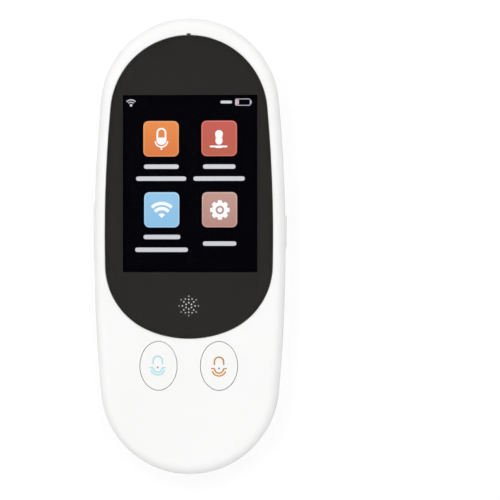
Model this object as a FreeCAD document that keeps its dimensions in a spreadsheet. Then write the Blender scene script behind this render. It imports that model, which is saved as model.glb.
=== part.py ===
import FreeCAD, Part
import math
import os
import Sketcher

# Handheld translator, lying on its back with the screen up.
# X runs across the body, Y along it towards the top end, Z up through the screen.
# The origin is the middle of the back face. Lengths are millimetres.

V = FreeCAD.Vector
doc = FreeCAD.newDocument("HandheldTranslator")
sheet = doc.addObject("Spreadsheet::Sheet", "size")
sheet_rows = []
pieces = []


class Length:
    """A length together with the expression that ties it to the sheet."""

    def __init__(self, value, text):
        self.value = value
        self.text = text

    def join(self, other, sign, swap=False):
        if not isinstance(other, Length):
            other = Length(float(other), repr(float(other)))
        a, b = (other, self) if swap else (self, other)
        values = {"+": a.value + b.value, "-": a.value - b.value, "*": a.value * b.value}
        value = a.value / b.value if sign == "/" else values[sign]
        return Length(value, "(" + a.text + " " + sign + " " + b.text + ")")

    def __add__(self, other):
        return self.join(other, "+")

    def __radd__(self, other):
        return self.join(other, "+", True)

    def __sub__(self, other):
        return self.join(other, "-")

    def __rsub__(self, other):
        return self.join(other, "-", True)

    def __mul__(self, other):
        return self.join(other, "*")

    def __rmul__(self, other):
        return self.join(other, "*", True)

    def __truediv__(self, other):
        return self.join(other, "/")

    def __neg__(self):
        return self.join(-1.0, "*")


def size(name, value):
    row = str(len(sheet_rows) + 1)
    sheet.set("A" + row, name)
    sheet.set("B" + row, str(value))
    sheet.setAlias("B" + row, name)
    sheet_rows.append(name)
    return Length(float(value), "size." + name)


# The body: two bowed sides and two round ends, all tangent
body_depth = size("body_depth", 12.5)
front_depth = size("front_depth", 6.1)
side_bow = size("side_bow", 438.0)
side_wall = size("side_wall", 1.6)
front_wall = size("front_wall", 2.0)
back_wall = size("back_wall", 1.6)
front_edge = size("front_edge", 2.9)
back_edge = size("back_edge", 4.5)
seam_bevel = size("seam_bevel", 0.12)

# The tongue of the front shell that sits in the back shell's rebate
tongue_height = size("tongue_height", 1.0)
tongue_thickness = size("tongue_thickness", 0.7)
tongue_gap = size("tongue_gap", 0.1)

# The egg-shaped cover lens, let into the front: its rims, and the grip that it leaves for the buttons
side_rim = size("side_rim", 3.14)
top_rim = size("top_rim", 4.75)
grip_length = size("grip_length", 37.2)
lens_widest = size("lens_widest", 28.23)
lens_bow = size("lens_bow", 392.0)
bottom_flatter = size("bottom_flatter", 5.1)
corner_tighter = size("corner_tighter", 3.6)
lens_thickness = size("lens_thickness", 1.0)
lens_gap = size("lens_gap", 0.08)
lens_edge = size("lens_edge", 0.3)
film_thickness = size("film_thickness", 0.1)
tape_thickness = size("tape_thickness", 0.15)
tape_inset = size("tape_inset", 0.5)

# The screen, a 2.4-inch panel
screen_width = size("screen_width", 36.9)
screen_length = size("screen_length", 48.5)
screen_side = size("screen_side", 4.61)
screen_drop = size("screen_drop", 16.35)
screen_chin = size("screen_chin", 18.2)
screen_shift = size("screen_shift", 0.3)
window_margin = size("window_margin", 0.8)
cell_side = size("cell_side", 2.6)
cell_top = size("cell_top", 2.1)
cell_bottom = size("cell_bottom", 3.4)
cell_thickness = size("cell_thickness", 0.9)
frame_margin = size("frame_margin", 0.3)
frame_thickness = size("frame_thickness", 1.3)
gasket_thickness = size("gasket_thickness", 0.3)
gasket_width = size("gasket_width", 1.2)

# The round group of sound holes, and what lies behind it
sound_below_screen = size("sound_below_screen", 9.2)
sound_hole = size("sound_hole", 0.42)
ring_one = size("ring_one", 0.85)
ring_two = size("ring_two", 1.75)
ring_between = size("ring_between", 2.1)
ring_three = size("ring_three", 2.65)
mesh_diameter = size("mesh_diameter", 7.6)
mesh_gap = size("mesh_gap", 0.2)
sound_port = size("sound_port", 6.4)
speaker_width = size("speaker_width", 15.0)
speaker_height = size("speaker_height", 6.2)
speaker_depth = size("speaker_depth", 2.5)
cradle_wall = size("cradle_wall", 0.6)
cradle_gap = size("cradle_gap", 0.12)
cradle_depth = size("cradle_depth", 2.0)

# The two oval talk buttons
button_width = size("button_width", 10.1)
button_length = size("button_length", 13.25)
button_pitch = size("button_pitch", 16.6)
button_drop = size("button_drop", 7.4)
button_gap = size("button_gap", 0.15)
button_sunk = size("button_sunk", 0.08)
button_round = size("button_round", 0.2)
flange_reach = size("flange_reach", 0.9)
flange_thickness = size("flange_thickness", 0.7)
flange_gap = size("flange_gap", 0.05)
post_diameter = size("post_diameter", 3.0)
button_travel = size("button_travel", 0.3)

# The tactile switches, in front and at the sides
switch_width = size("switch_width", 4.6)
switch_height = size("switch_height", 1.3)
plunger_diameter = size("plunger_diameter", 1.8)
plunger_bite = size("plunger_bite", 0.6)
plunger_gap = size("plunger_gap", 0.1)
side_switch_height = size("side_switch_height", 2.0)
side_switch_depth = size("side_switch_depth", 2.3)
side_plunger = size("side_plunger", 1.2)
side_travel = size("side_travel", 0.25)

# The side keys
key_height = size("key_height", 3.0)
key_proud = size("key_proud", 0.4)
key_gap = size("key_gap", 0.15)
key_edge = size("key_edge", 0.35)
key_flange = size("key_flange", 0.7)
key_reach = size("key_reach", 0.8)
key_rest = size("key_rest", 0.1)
key_nib = size("key_nib", 0.2)
power_length = size("power_length", 9.0)
power_place = size("power_place", 4.0)
rocker_length = size("rocker_length", 16.0)
rocker_place = size("rocker_place", 4.0)
rocker_fall = size("rocker_fall", 0.45)
switch_spacing = size("switch_spacing", 10.0)

# The main board and what it carries
board_inset = size("board_inset", 2.7)
board_thickness = size("board_thickness", 1.0)
notch_depth = size("notch_depth", 5.6)
notch_margin = size("notch_margin", 1.2)
can_width = size("can_width", 22.0)
can_length = size("can_length", 20.0)
can_height = size("can_height", 2.0)
can_sheet = size("can_sheet", 0.25)
chip_width = size("chip_width", 10.0)
chip_height = size("chip_height", 1.1)
memory_width = size("memory_width", 6.0)

# The four screws, their bosses and their columns
screw_side = size("screw_side", 11.2)
screw_end = size("screw_end", 15.0)
screw_shank = size("screw_shank", 1.9)
screw_head = size("screw_head", 3.6)
head_height = size("head_height", 1.0)
screw_sunk = size("screw_sunk", 0.5)
screw_reach = size("screw_reach", 2.4)
boss_diameter = size("boss_diameter", 5.0)
column_diameter = size("column_diameter", 6.0)
shank_gap = size("shank_gap", 0.15)
head_gap = size("head_gap", 0.2)
pilot_gap = size("pilot_gap", 0.02)

# The battery
battery_width = size("battery_width", 34.0)
battery_length = size("battery_length", 50.0)
battery_clear = size("battery_clear", 0.3)
battery_round = size("battery_round", 1.4)
battery_above_sound = size("battery_above_sound", 0.3)
pad_thickness = size("pad_thickness", 0.2)
rail_thickness = size("rail_thickness", 1.0)
rail_height = size("rail_height", 2.4)
rail_gap = size("rail_gap", 0.3)
wire_diameter = size("wire_diameter", 1.0)
wire_spacing = size("wire_spacing", 1.6)
plug_width = size("plug_width", 4.4)
plug_length = size("plug_length", 3.2)
plug_height = size("plug_height", 1.4)
header_height = size("header_height", 1.2)
plug_distance = size("plug_distance", 4.6)

# The charging socket in the bottom end
socket_width = size("socket_width", 7.5)
socket_height = size("socket_height", 2.6)
socket_taper = size("socket_taper", 0.9)
socket_length = size("socket_length", 5.6)
socket_sheet = size("socket_sheet", 0.3)
socket_recess = size("socket_recess", 0.7)
socket_gap = size("socket_gap", 0.25)
tongue_blade = size("tongue_blade", 0.6)

# The microphone at the top end
port_width = size("port_width", 1.1)
port_height = size("port_height", 0.5)
microphone_width = size("microphone_width", 3.8)
microphone_height = size("microphone_height", 1.1)
boot_diameter = size("boot_diameter", 4.2)
boot_bore = size("boot_bore", 1.6)
antenna_width = size("antenna_width", 18.0)
antenna_length = size("antenna_length", 6.0)
antenna_thickness = size("antenna_thickness", 0.2)
doc.recompute()

# Places that follow from those sizes
lens_half = screen_width / 2 + screen_side
lens_length = screen_drop + screen_length + screen_chin
half_width = lens_half + side_rim
half_length = (top_rim + lens_length + grip_length) / 2
parting_height = body_depth - front_depth
ceiling = body_depth - front_wall
lens_top = half_length - top_rim
lens_bottom = lens_top - lens_length
widest_at = lens_bottom + lens_widest
recess_depth = lens_thickness + film_thickness + tape_thickness
screen_top = lens_top - screen_drop
screen_bottom = screen_top - screen_length
screen_left = screen_shift - screen_width / 2
screen_right = screen_shift + screen_width / 2
sound_y = screen_bottom - sound_below_screen
button_y = lens_bottom - button_drop
board_top = parting_height + board_thickness
board_middle = parting_height + board_thickness / 2
key_middle = board_middle
cell_z = ceiling - gasket_thickness - cell_thickness
frame_z = cell_z - frame_thickness
switch_top = board_top + switch_height
battery_z = back_wall + pad_thickness
battery_height = parting_height - battery_clear - battery_z
battery_place = sound_y + battery_above_sound + battery_length / 2
can_place = -button_y - post_diameter / 2
screw_x = half_width - screw_side
screw_y = half_length - screw_end


def make_body(label):
    body = doc.addObject("PartDesign::Body", label)
    body.Label = label
    body.Placement = FreeCAD.Placement(V(0, 0, 0), FreeCAD.Rotation())
    pieces.append(body)
    return body


def sketch_on(body, plane, offset, name):
    sketch = body.newObject("Sketcher::SketchObject", name)
    base = [f for f in body.Origin.OriginFeatures if f.Role == plane][0]
    sketch.AttachmentSupport = [(base, "")]
    sketch.MapMode = "FlatFace"
    if not isinstance(offset, Length):
        offset = Length(float(offset), repr(float(offset)))
    sketch.AttachmentOffset = FreeCAD.Placement(V(0, 0, offset.value), FreeCAD.Rotation())
    sketch.setExpression("AttachmentOffset.Base.z", offset.text)
    return sketch


def flat_sketch(body, height, name):
    return sketch_on(body, "XY_Plane", height, name)


def constrain(sketch, kind, *parts):
    """Adds a dimension whose last part is a Length and ties it to the sheet."""
    length = parts[-1]
    if not isinstance(length, Length):
        length = Length(float(length), repr(float(length)))
    number = sketch.addConstraint(Sketcher.Constraint(kind, *parts[:-1], length.value))
    sketch.setExpression("Constraints[" + str(number) + "]", length.text)


def place(sketch, geometry, point, x, y):
    constrain(sketch, "DistanceX", -1, 1, geometry, point, x)
    constrain(sketch, "DistanceY", -1, 1, geometry, point, y)


def add_arc(sketch, x, y, radius, start, end):
    circle = Part.Circle(V(x, y, 0), V(0, 0, 1), radius)
    return sketch.addGeometry(Part.ArcOfCircle(circle, start, end), False)


def join_tangent(sketch, first, second):
    sketch.addConstraint(Sketcher.Constraint("Tangent", first, 2, second, 1))


def plain(value):
    return value.value if isinstance(value, Length) else float(value)


def body_outline(sketch, inset):
    """The outline of the body, moved inwards by inset."""
    bow, wide, tall = plain(side_bow), plain(half_width), plain(half_length)
    step, cx = plain(inset), bow - wide
    end = (bow * bow - cx * cx - tall * tall) / (2 * (bow - tall))
    cy = tall - end
    turn = math.atan2(cy, cx)
    right = add_arc(sketch, -cx, 0, bow - step, -turn, turn)
    top = add_arc(sketch, 0, cy, end - step, turn, math.pi - turn)
    left = add_arc(sketch, cx, 0, bow - step, math.pi - turn, math.pi + turn)
    bottom = add_arc(sketch, 0, -cy, end - step, math.pi + turn, 2 * math.pi - turn)
    for first, second in ((right, top), (top, left), (left, bottom), (bottom, right)):
        join_tangent(sketch, first, second)
    place(sketch, right, 3, half_width - side_bow, 0.0)
    constrain(sketch, "Radius", right, side_bow - inset)
    place(sketch, left, 3, side_bow - half_width, 0.0)
    constrain(sketch, "Radius", left, side_bow - inset)
    tip = sketch.addGeometry(Part.Point(V(0, tall - step, 0)), True)
    place(sketch, tip, 1, 0.0, half_length - inset)
    sketch.addConstraint(Sketcher.Constraint("PointOnObject", tip, 1, top))
    sketch.addConstraint(Sketcher.Constraint("Equal", top, bottom))


def lens_outline(sketch, inset):
    """The outline of the cover lens, moved inwards by inset."""
    bow, wide, top_y = plain(lens_bow), plain(lens_half), plain(lens_top)
    step, mid, low = plain(inset), plain(widest_at), plain(lens_bottom)
    flat = plain(lens_half + bottom_flatter)
    tight = plain(lens_half - corner_tighter)
    cx = bow - wide
    high = top_y - mid
    crown = (bow * bow - cx * cx - high * high) / (2 * (bow - high))
    side = (-cx, mid)
    base = (0.0, low + flat)
    # the corner arc's centre lies where it touches the side arc and the bottom arc
    reach_side, reach_base = bow - tight, flat - tight
    apart = math.hypot(base[0] - side[0], base[1] - side[1])
    along = (reach_side ** 2 - reach_base ** 2 + apart ** 2) / (2 * apart)
    off = math.sqrt(max(reach_side ** 2 - along ** 2, 0.0))
    ux, uy = (base[0] - side[0]) / apart, (base[1] - side[1]) / apart
    corner = (side[0] + ux * along + uy * off, side[1] + uy * along - ux * off)
    a_top = math.atan2(top_y - crown - mid, cx)
    a_side = math.atan2(corner[1] - side[1], corner[0] - side[0])
    a_base = math.atan2(corner[1] - base[1], corner[0] - base[0])
    pi = math.pi
    right = add_arc(sketch, side[0], side[1], bow - step, a_side, a_top)
    top = add_arc(sketch, 0, top_y - crown, crown - step, a_top, pi - a_top)
    left = add_arc(sketch, cx, mid, bow - step, pi - a_top, pi - a_side)
    low_left = add_arc(sketch, -corner[0], corner[1], tight - step, pi - a_side, pi - a_base)
    bottom = add_arc(sketch, 0, base[1], flat - step, pi - a_base, 2 * pi + a_base)
    low_right = add_arc(sketch, corner[0], corner[1], tight - step, 2 * pi + a_base, 2 * pi + a_side)
    ring = [right, top, left, low_left, bottom, low_right]
    for number, arc in enumerate(ring):
        join_tangent(sketch, arc, ring[(number + 1) % 6])
    place(sketch, right, 3, lens_half - lens_bow, widest_at)
    constrain(sketch, "Radius", right, lens_bow - inset)
    place(sketch, left, 3, lens_bow - lens_half, widest_at)
    constrain(sketch, "Radius", left, lens_bow - inset)
    tip = sketch.addGeometry(Part.Point(V(0, top_y - step, 0)), True)
    place(sketch, tip, 1, 0.0, lens_top - inset)
    sketch.addConstraint(Sketcher.Constraint("PointOnObject", tip, 1, top))
    place(sketch, bottom, 3, 0.0, lens_bottom + lens_half + bottom_flatter)
    constrain(sketch, "Radius", bottom, lens_half + bottom_flatter - inset)
    constrain(sketch, "Radius", low_left, lens_half - corner_tighter - inset)
    sketch.addConstraint(Sketcher.Constraint("Equal", low_left, low_right))


def polygon(sketch, points):
    """A closed outline of straight edges through points given as pairs of lengths."""
    first = len(sketch.Geometry)
    count = len(points)
    for number in range(count):
        x0, y0 = points[number]
        x1, y1 = points[(number + 1) % count]
        sketch.addGeometry(Part.LineSegment(V(plain(x0), plain(y0), 0), V(plain(x1), plain(y1), 0)), False)
    for number in range(count):
        after = first + (number + 1) % count
        sketch.addConstraint(Sketcher.Constraint("Coincident", first + number, 2, after, 1))
        place(sketch, first + number, 1, points[number][0], points[number][1])


def rectangle(sketch, left, right, bottom, top):
    polygon(sketch, [(left, bottom), (right, bottom), (right, top), (left, top)])


def circle(sketch, x, y, diameter):
    number = sketch.addGeometry(Part.Circle(V(plain(x), plain(y), 0), V(0, 0, 1), plain(diameter) / 2), False)
    place(sketch, number, 3, x, y)
    constrain(sketch, "Diameter", number, diameter)


def ellipse(sketch, x, y, width, height):
    """An upright ellipse: its long axis runs along the body."""
    cx, cy, a, b = plain(x), plain(y), plain(height) / 2, plain(width) / 2
    number = sketch.addGeometry(Part.Ellipse(V(cx, cy + a, 0), V(cx - b, cy, 0), V(cx, cy, 0)), False)
    sketch.exposeInternalGeometry(number)
    long_axis, short_axis = number + 1, number + 2
    place(sketch, number, 3, x, y)
    sketch.addConstraint(Sketcher.Constraint("Vertical", long_axis))
    constrain(sketch, "Distance", long_axis, height)
    constrain(sketch, "Distance", short_axis, width)


def pill(sketch, x, y, length, height):
    """A slot shape with round ends, long along the sketch's first axis."""
    cx, cy, r = plain(x), plain(y), plain(height) / 2
    run = (plain(length) - plain(height)) / 2
    pi = math.pi
    right = add_arc(sketch, cx + run, cy, r, -pi / 2, pi / 2)
    top = sketch.addGeometry(Part.LineSegment(V(cx + run, cy + r, 0), V(cx - run, cy + r, 0)), False)
    left = add_arc(sketch, cx - run, cy, r, pi / 2, 3 * pi / 2)
    low = sketch.addGeometry(Part.LineSegment(V(cx - run, cy - r, 0), V(cx + run, cy - r, 0)), False)
    for first, second in ((right, top), (top, left), (left, low), (low, right)):
        join_tangent(sketch, first, second)
    place(sketch, right, 3, x + (length - height) / 2, y)
    place(sketch, left, 3, x - (length - height) / 2, y)
    constrain(sketch, "Radius", right, height / 2)
    sketch.addConstraint(Sketcher.Constraint("Equal", right, left))


def finish_feature(body, feature, before, adds):
    body.Tip = feature
    doc.recompute()
    if feature.Shape.isNull() or not feature.Shape.isValid():
        raise ValueError(body.Label + ": " + feature.Name + " gave no valid shape")
    after = feature.Shape.Volume
    if adds and after <= before or not adds and after >= before:
        raise ValueError(body.Label + ": " + feature.Name + " changed nothing")
    return feature


def extrude(body, kind, sketch, length, reverse, middle):
    before = body.Tip.Shape.Volume if body.Tip else 0.0
    feature = body.newObject("PartDesign::" + kind, kind)
    feature.Profile = sketch
    if middle:
        feature.SideType = "Symmetric"
    feature.Length = plain(length)
    if isinstance(length, Length):
        feature.setExpression("Length", length.text)
    feature.Reversed = reverse
    return finish_feature(body, feature, before, kind == "Pad")


def pad(body, sketch, length, reverse=False, middle=False):
    return extrude(body, "Pad", sketch, length, reverse, middle)


def pocket(body, sketch, length, reverse=False, middle=False):
    return extrude(body, "Pocket", sketch, length, reverse, middle)


def edges_where(body, wanted):
    return ["Edge" + str(n + 1) for n, edge in enumerate(body.Tip.Shape.Edges) if wanted(edge)]


def at_height(z):
    level = plain(z)
    return lambda e: abs(e.BoundBox.ZMin - level) < 0.001 and abs(e.BoundBox.ZMax - level) < 0.001


def soften(body, kind, length, wanted):
    """Rounds or bevels the edges that the test picks."""
    names = edges_where(body, wanted)
    base = body.Tip
    feature = body.newObject("PartDesign::" + kind, kind)
    feature.Base = (base, names)
    prop = "Radius" if kind == "Fillet" else "Size"
    setattr(feature, prop, plain(length))
    if isinstance(length, Length):
        feature.setExpression(prop, length.text)
    body.Tip = feature
    doc.recompute()
    if not names or feature.Shape.isNull() or not feature.Shape.isValid():
        raise ValueError(body.Label + ": " + kind + " failed on " + str(len(names)) + " edges")
    return feature


screw_spots = [(screw_x * sx, screw_y * sy) for sx in (1.0, -1.0) for sy in (1.0, -1.0)]


def cut_side_openings(body):
    """The slots for the power key, the volume rocker and the charging socket."""
    slot = sketch_on(body, "YZ_Plane", half_width - notch_depth, "PowerSlot")
    pill(slot, power_place, key_middle, power_length + key_gap * 2, key_height + key_gap * 2)
    pocket(body, slot, notch_depth * 2, reverse=True)
    slot = sketch_on(body, "YZ_Plane", notch_depth - half_width, "RockerSlot")
    pill(slot, rocker_place, key_middle, rocker_length + key_gap * 2, key_height + key_gap * 2)
    pocket(body, slot, notch_depth * 2)
    mouth = sketch_on(body, "XZ_Plane", half_length - side_wall * 3, "SocketSlot")
    socket_section(mouth, -socket_gap)
    pocket(body, mouth, side_wall * 6, reverse=True)


def socket_section(sketch, inset):
    """The outline of the charging socket, moved inwards by inset."""
    low = board_middle - socket_height / 2 + inset
    high = board_middle + socket_height / 2 - inset
    wide = socket_width / 2 - inset
    narrow = socket_width / 2 - socket_taper - inset / 2
    shoulder = low + socket_taper - inset / 2
    polygon(sketch, [
        (-narrow, low), (narrow, low), (wide, shoulder), (wide, high), (-wide, high), (-wide, shoulder),
    ])


# Front shell: a deep tray, open to the back, with the recess for the cover lens in its face
front_shell = make_body("front_shell")
outline = flat_sketch(front_shell, parting_height, "Outline")
body_outline(outline, 0.0)
pad(front_shell, outline, body_depth - parting_height)
soften(front_shell, "Fillet", front_edge, at_height(body_depth))
soften(front_shell, "Chamfer", seam_bevel, at_height(parting_height))
hollow = flat_sketch(front_shell, parting_height, "Hollow")
body_outline(hollow, side_wall)
pocket(front_shell, hollow, ceiling - parting_height, reverse=True)
soften(front_shell, "Fillet", side_wall / 2, at_height(ceiling))

# Its tongue reaches down into the back shell
tongue = flat_sketch(front_shell, parting_height, "Tongue")
body_outline(tongue, side_wall - tongue_thickness)
body_outline(tongue, side_wall)
pad(front_shell, tongue, tongue_height, reverse=True)

# Bosses for the screws stand on the main board
bosses = flat_sketch(front_shell, board_top, "Bosses")
for x, y in screw_spots:
    circle(bosses, x, y, boss_diameter)
pad(front_shell, bosses, ceiling - board_top + 0.1)
pilots = flat_sketch(front_shell, board_top, "Pilots")
for x, y in screw_spots:
    circle(pilots, x, y, screw_shank + pilot_gap * 2)
pocket(front_shell, pilots, screw_reach + pilot_gap, reverse=True)

# A fence on three sides of the screen module, open to its flex at the bottom
fence = flat_sketch(front_shell, frame_z + frame_thickness / 2, "Fence")
fence_left = screen_left - cell_side - frame_margin - cradle_gap
fence_right = screen_right + cell_side + frame_margin + cradle_gap
fence_top = screen_top + cell_top + frame_margin + cradle_gap
fence_bottom = screen_bottom
polygon(fence, [
    (fence_left, fence_bottom), (fence_left, fence_top), (fence_right, fence_top), (fence_right, fence_bottom),
    (fence_right + cradle_wall, fence_bottom), (fence_right + cradle_wall, fence_top + cradle_wall),
    (fence_left - cradle_wall, fence_top + cradle_wall), (fence_left - cradle_wall, fence_bottom),
])
pad(front_shell, fence, ceiling - frame_z - frame_thickness / 2 + 0.1)

# A cradle round the speaker
cradle = flat_sketch(front_shell, ceiling - cradle_depth, "Cradle")
cradle_x = speaker_width / 2 + cradle_gap
cradle_y = speaker_height / 2 + cradle_gap
rectangle(cradle, -cradle_x - cradle_wall, cradle_x + cradle_wall,
          sound_y - cradle_y - cradle_wall, sound_y + cradle_y + cradle_wall)
rectangle(cradle, -cradle_x, cradle_x, sound_y - cradle_y, sound_y + cradle_y)
pad(front_shell, cradle, cradle_depth + 0.1)

# The recess for the lens, the screen window, the sound port and the two oval button openings
recess = flat_sketch(front_shell, body_depth, "Recess")
lens_outline(recess, -lens_gap)
pocket(front_shell, recess, recess_depth)
window = flat_sketch(front_shell, body_depth, "Window")
rectangle(window, screen_left - window_margin, screen_right + window_margin,
          screen_bottom - window_margin, screen_top + window_margin)
pocket(front_shell, window, front_wall + 0.2)
port = flat_sketch(front_shell, body_depth, "SoundPort")
circle(port, Length(0.0, "0.0"), sound_y, sound_port)
pocket(front_shell, port, front_wall + 0.2)
openings = flat_sketch(front_shell, body_depth, "ButtonOpenings")
for side in (-1.0, 1.0):
    ellipse(openings, button_pitch / 2 * side, button_y,
            button_width + button_gap * 2, button_length + button_gap * 2)
pocket(front_shell, openings, front_wall + 0.2)

# The microphone's port touches the top of the lens recess
voice_port = flat_sketch(front_shell, body_depth, "VoicePort")
rectangle(voice_port, -port_width / 2, port_width / 2, lens_top - port_height, lens_top + port_height)
pocket(front_shell, voice_port, front_wall + 0.2)
cut_side_openings(front_shell)

# Back shell: a dished tray whose rim takes the front shell's tongue
back_shell = make_body("back_shell")
outline = flat_sketch(back_shell, 0.0, "Outline")
body_outline(outline, 0.0)
pad(back_shell, outline, parting_height)
soften(back_shell, "Fillet", back_edge, at_height(0.0))
soften(back_shell, "Chamfer", seam_bevel, at_height(parting_height))
hollow = flat_sketch(back_shell, parting_height, "Hollow")
body_outline(hollow, side_wall)
pocket(back_shell, hollow, parting_height - back_wall)
soften(back_shell, "Fillet", back_edge - back_wall, at_height(back_wall))
rebate = flat_sketch(back_shell, parting_height, "Rebate")
body_outline(rebate, side_wall - tongue_thickness - tongue_gap)
pocket(back_shell, rebate, tongue_height + tongue_gap)

# Columns carry the board, and the screws pass through them from the back
columns = flat_sketch(back_shell, back_wall - 0.1, "Columns")
for x, y in screw_spots:
    circle(columns, x, y, column_diameter)
pad(back_shell, columns, parting_height - back_wall + 0.1)
shanks = flat_sketch(back_shell, 0.0, "ShankHoles")
for x, y in screw_spots:
    circle(shanks, x, y, screw_shank + shank_gap * 2)
pocket(back_shell, shanks, parting_height + 0.2, reverse=True)
heads = flat_sketch(back_shell, 0.0, "HeadHoles")
for x, y in screw_spots:
    circle(heads, x, y, screw_head + head_gap * 2)
pocket(back_shell, heads, screw_sunk + head_height, reverse=True)

# Two rails and two stops keep the battery in place
rails = flat_sketch(back_shell, back_wall - 0.1, "Rails")
bay_x = battery_width / 2 + rail_gap
bay_top = battery_place + battery_length / 2 + rail_gap
bay_bottom = battery_place - battery_length / 2 - rail_gap
for side in (-1.0, 1.0):
    edges = [bay_x * side, (bay_x + rail_thickness) * side]
    edges.sort(key=plain)
    rectangle(rails, edges[0], edges[1], bay_bottom, bay_top)
rectangle(rails, -bay_x / 2, bay_x / 2, bay_top, bay_top + rail_thickness)
pad(back_shell, rails, rail_height + 0.1)
cut_side_openings(back_shell)

# The cover lens: clear, with rounded front edges and 26 fine sound holes
sound_rings = [
    (ring_one, (30, 90, 150, 210, 270, 330)),
    (ring_two, (0, 39, 90, 141, 180, 219, 270, 321)),
    (ring_between, (64, 116, 244, 296)),
    (ring_three, (0, 39, 90, 141, 180, 219, 270, 321)),
]


def sound_pattern(sketch):
    for radius, angles in sound_rings:
        for angle in angles:
            across = math.cos(math.radians(angle))
            along = math.sin(math.radians(angle))
            circle(sketch, radius * round(across, 4), sound_y + radius * round(along, 4), sound_hole)


cover_lens = make_body("cover_lens")
outline = flat_sketch(cover_lens, body_depth - lens_thickness, "Outline")
lens_outline(outline, 0.0)
pad(cover_lens, outline, lens_thickness)
soften(cover_lens, "Fillet", lens_edge, at_height(body_depth))
holes = flat_sketch(cover_lens, body_depth, "SoundHoles")
sound_pattern(holes)
pocket(cover_lens, holes, lens_thickness + 0.1)

# The black printed film behind it, open at the screen and at each sound hole
mask_film = make_body("mask_film")
film_z = body_depth - lens_thickness - film_thickness
outline = flat_sketch(mask_film, film_z, "Outline")
lens_outline(outline, 0.0)
pad(mask_film, outline, film_thickness)
window = flat_sketch(mask_film, film_z, "Window")
rectangle(window, screen_left, screen_right, screen_bottom, screen_top)
sound_pattern(window)
pocket(mask_film, window, film_thickness + 0.1, reverse=True)

# The tape that holds the lens on its ledge
lens_tape = make_body("lens_tape")
tape_z = film_z - tape_thickness
outline = flat_sketch(lens_tape, tape_z, "Outline")
lens_outline(outline, tape_inset)
pad(lens_tape, outline, tape_thickness)
window = flat_sketch(lens_tape, tape_z, "Window")
rectangle(window, screen_left - window_margin, screen_right + window_margin,
          screen_bottom - window_margin, screen_top + window_margin)
circle(window, Length(0.0, "0.0"), sound_y, mesh_diameter + mesh_gap * 2)
rectangle(window, -port_width / 2, port_width / 2, lens_top - port_height * 2, lens_top + port_height)
pocket(lens_tape, window, tape_thickness + 0.1, reverse=True)

# Pale cloth behind the sound holes
acoustic_mesh = make_body("acoustic_mesh")
disc = flat_sketch(acoustic_mesh, tape_z, "Disc")
circle(disc, Length(0.0, "0.0"), sound_y, mesh_diameter)
pad(acoustic_mesh, disc, tape_thickness)

# Foam ring and speaker, pressed up against the ceiling below the sound port
speaker_gasket = make_body("speaker_gasket")
ring = flat_sketch(speaker_gasket, ceiling - gasket_thickness, "Ring")
rectangle(ring, -speaker_width / 2, speaker_width / 2, sound_y - speaker_height / 2, sound_y + speaker_height / 2)
rectangle(ring, -speaker_width / 2 + gasket_width, speaker_width / 2 - gasket_width,
          sound_y - speaker_height / 2 + gasket_width / 2, sound_y + speaker_height / 2 - gasket_width / 2)
pad(speaker_gasket, ring, gasket_thickness)
speaker = make_body("speaker")
case = flat_sketch(speaker, ceiling - gasket_thickness - speaker_depth, "Case")
pill(case, Length(0.0, "0.0"), sound_y, speaker_width, speaker_height)
pad(speaker, case, speaker_depth)
dish = flat_sketch(speaker, ceiling - gasket_thickness, "Dish")
pill(dish, Length(0.0, "0.0"), sound_y, speaker_width - gasket_width * 2, speaker_height - gasket_width)
pocket(speaker, dish, gasket_thickness)

# The screen module: the lit glass cell on its backlight frame, with a foam ring in front
display_gasket = make_body("display_gasket")
ring = flat_sketch(display_gasket, ceiling - gasket_thickness, "Ring")
rectangle(ring, screen_left - cell_side, screen_right + cell_side, screen_bottom - cell_bottom, screen_top + cell_top)
rectangle(ring, screen_left - window_margin, screen_right + window_margin,
          screen_bottom - window_margin, screen_top + window_margin)
pad(display_gasket, ring, gasket_thickness)
display_cell = make_body("display_cell")
plate = flat_sketch(display_cell, cell_z, "Plate")
rectangle(plate, screen_left - cell_side, screen_right + cell_side, screen_bottom - cell_bottom, screen_top + cell_top)
pad(display_cell, plate, cell_thickness)
backlight_frame = make_body("backlight_frame")
plate = flat_sketch(backlight_frame, frame_z, "Plate")
rectangle(plate, screen_left - cell_side - frame_margin, screen_right + cell_side + frame_margin,
          screen_bottom - cell_bottom - frame_margin, screen_top + cell_top + frame_margin)
pad(backlight_frame, plate, frame_thickness)
soften(backlight_frame, "Fillet", frame_margin,
       lambda e: abs(e.BoundBox.ZMax - e.BoundBox.ZMin - frame_thickness.value) < 0.001)

# Its flex leaves the bottom edge, turns under the frame and ends on the board
display_flex = make_body("display_flex")
flex_sheet = size("flex_sheet", 0.12)
flex_width = size("flex_width", 14.0)
flex_run = size("flex_run", 7.0)
doc.recompute()
flex_edge = screen_bottom - cell_bottom - frame_margin
fold = sketch_on(display_flex, "YZ_Plane", screen_shift, "Fold")
flex_top = frame_z + frame_thickness / 4
flex_low = board_top
polygon(fold, [
    (flex_edge, flex_top + flex_sheet), (flex_edge - flex_sheet * 2, flex_top + flex_sheet),
    (flex_edge - flex_sheet * 3, flex_top), (flex_edge - flex_sheet * 3, flex_low + flex_sheet),
    (flex_edge - flex_sheet * 2, flex_low), (flex_edge + flex_run, flex_low),
    (flex_edge + flex_run, flex_low + flex_sheet), (flex_edge - flex_sheet, flex_low + flex_sheet),
    (flex_edge - flex_sheet * 2, flex_low + flex_sheet * 2), (flex_edge - flex_sheet * 2, flex_top - flex_sheet),
    (flex_edge - flex_sheet, flex_top), (flex_edge, flex_top),
])
pad(display_flex, fold, flex_width, middle=True)


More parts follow.
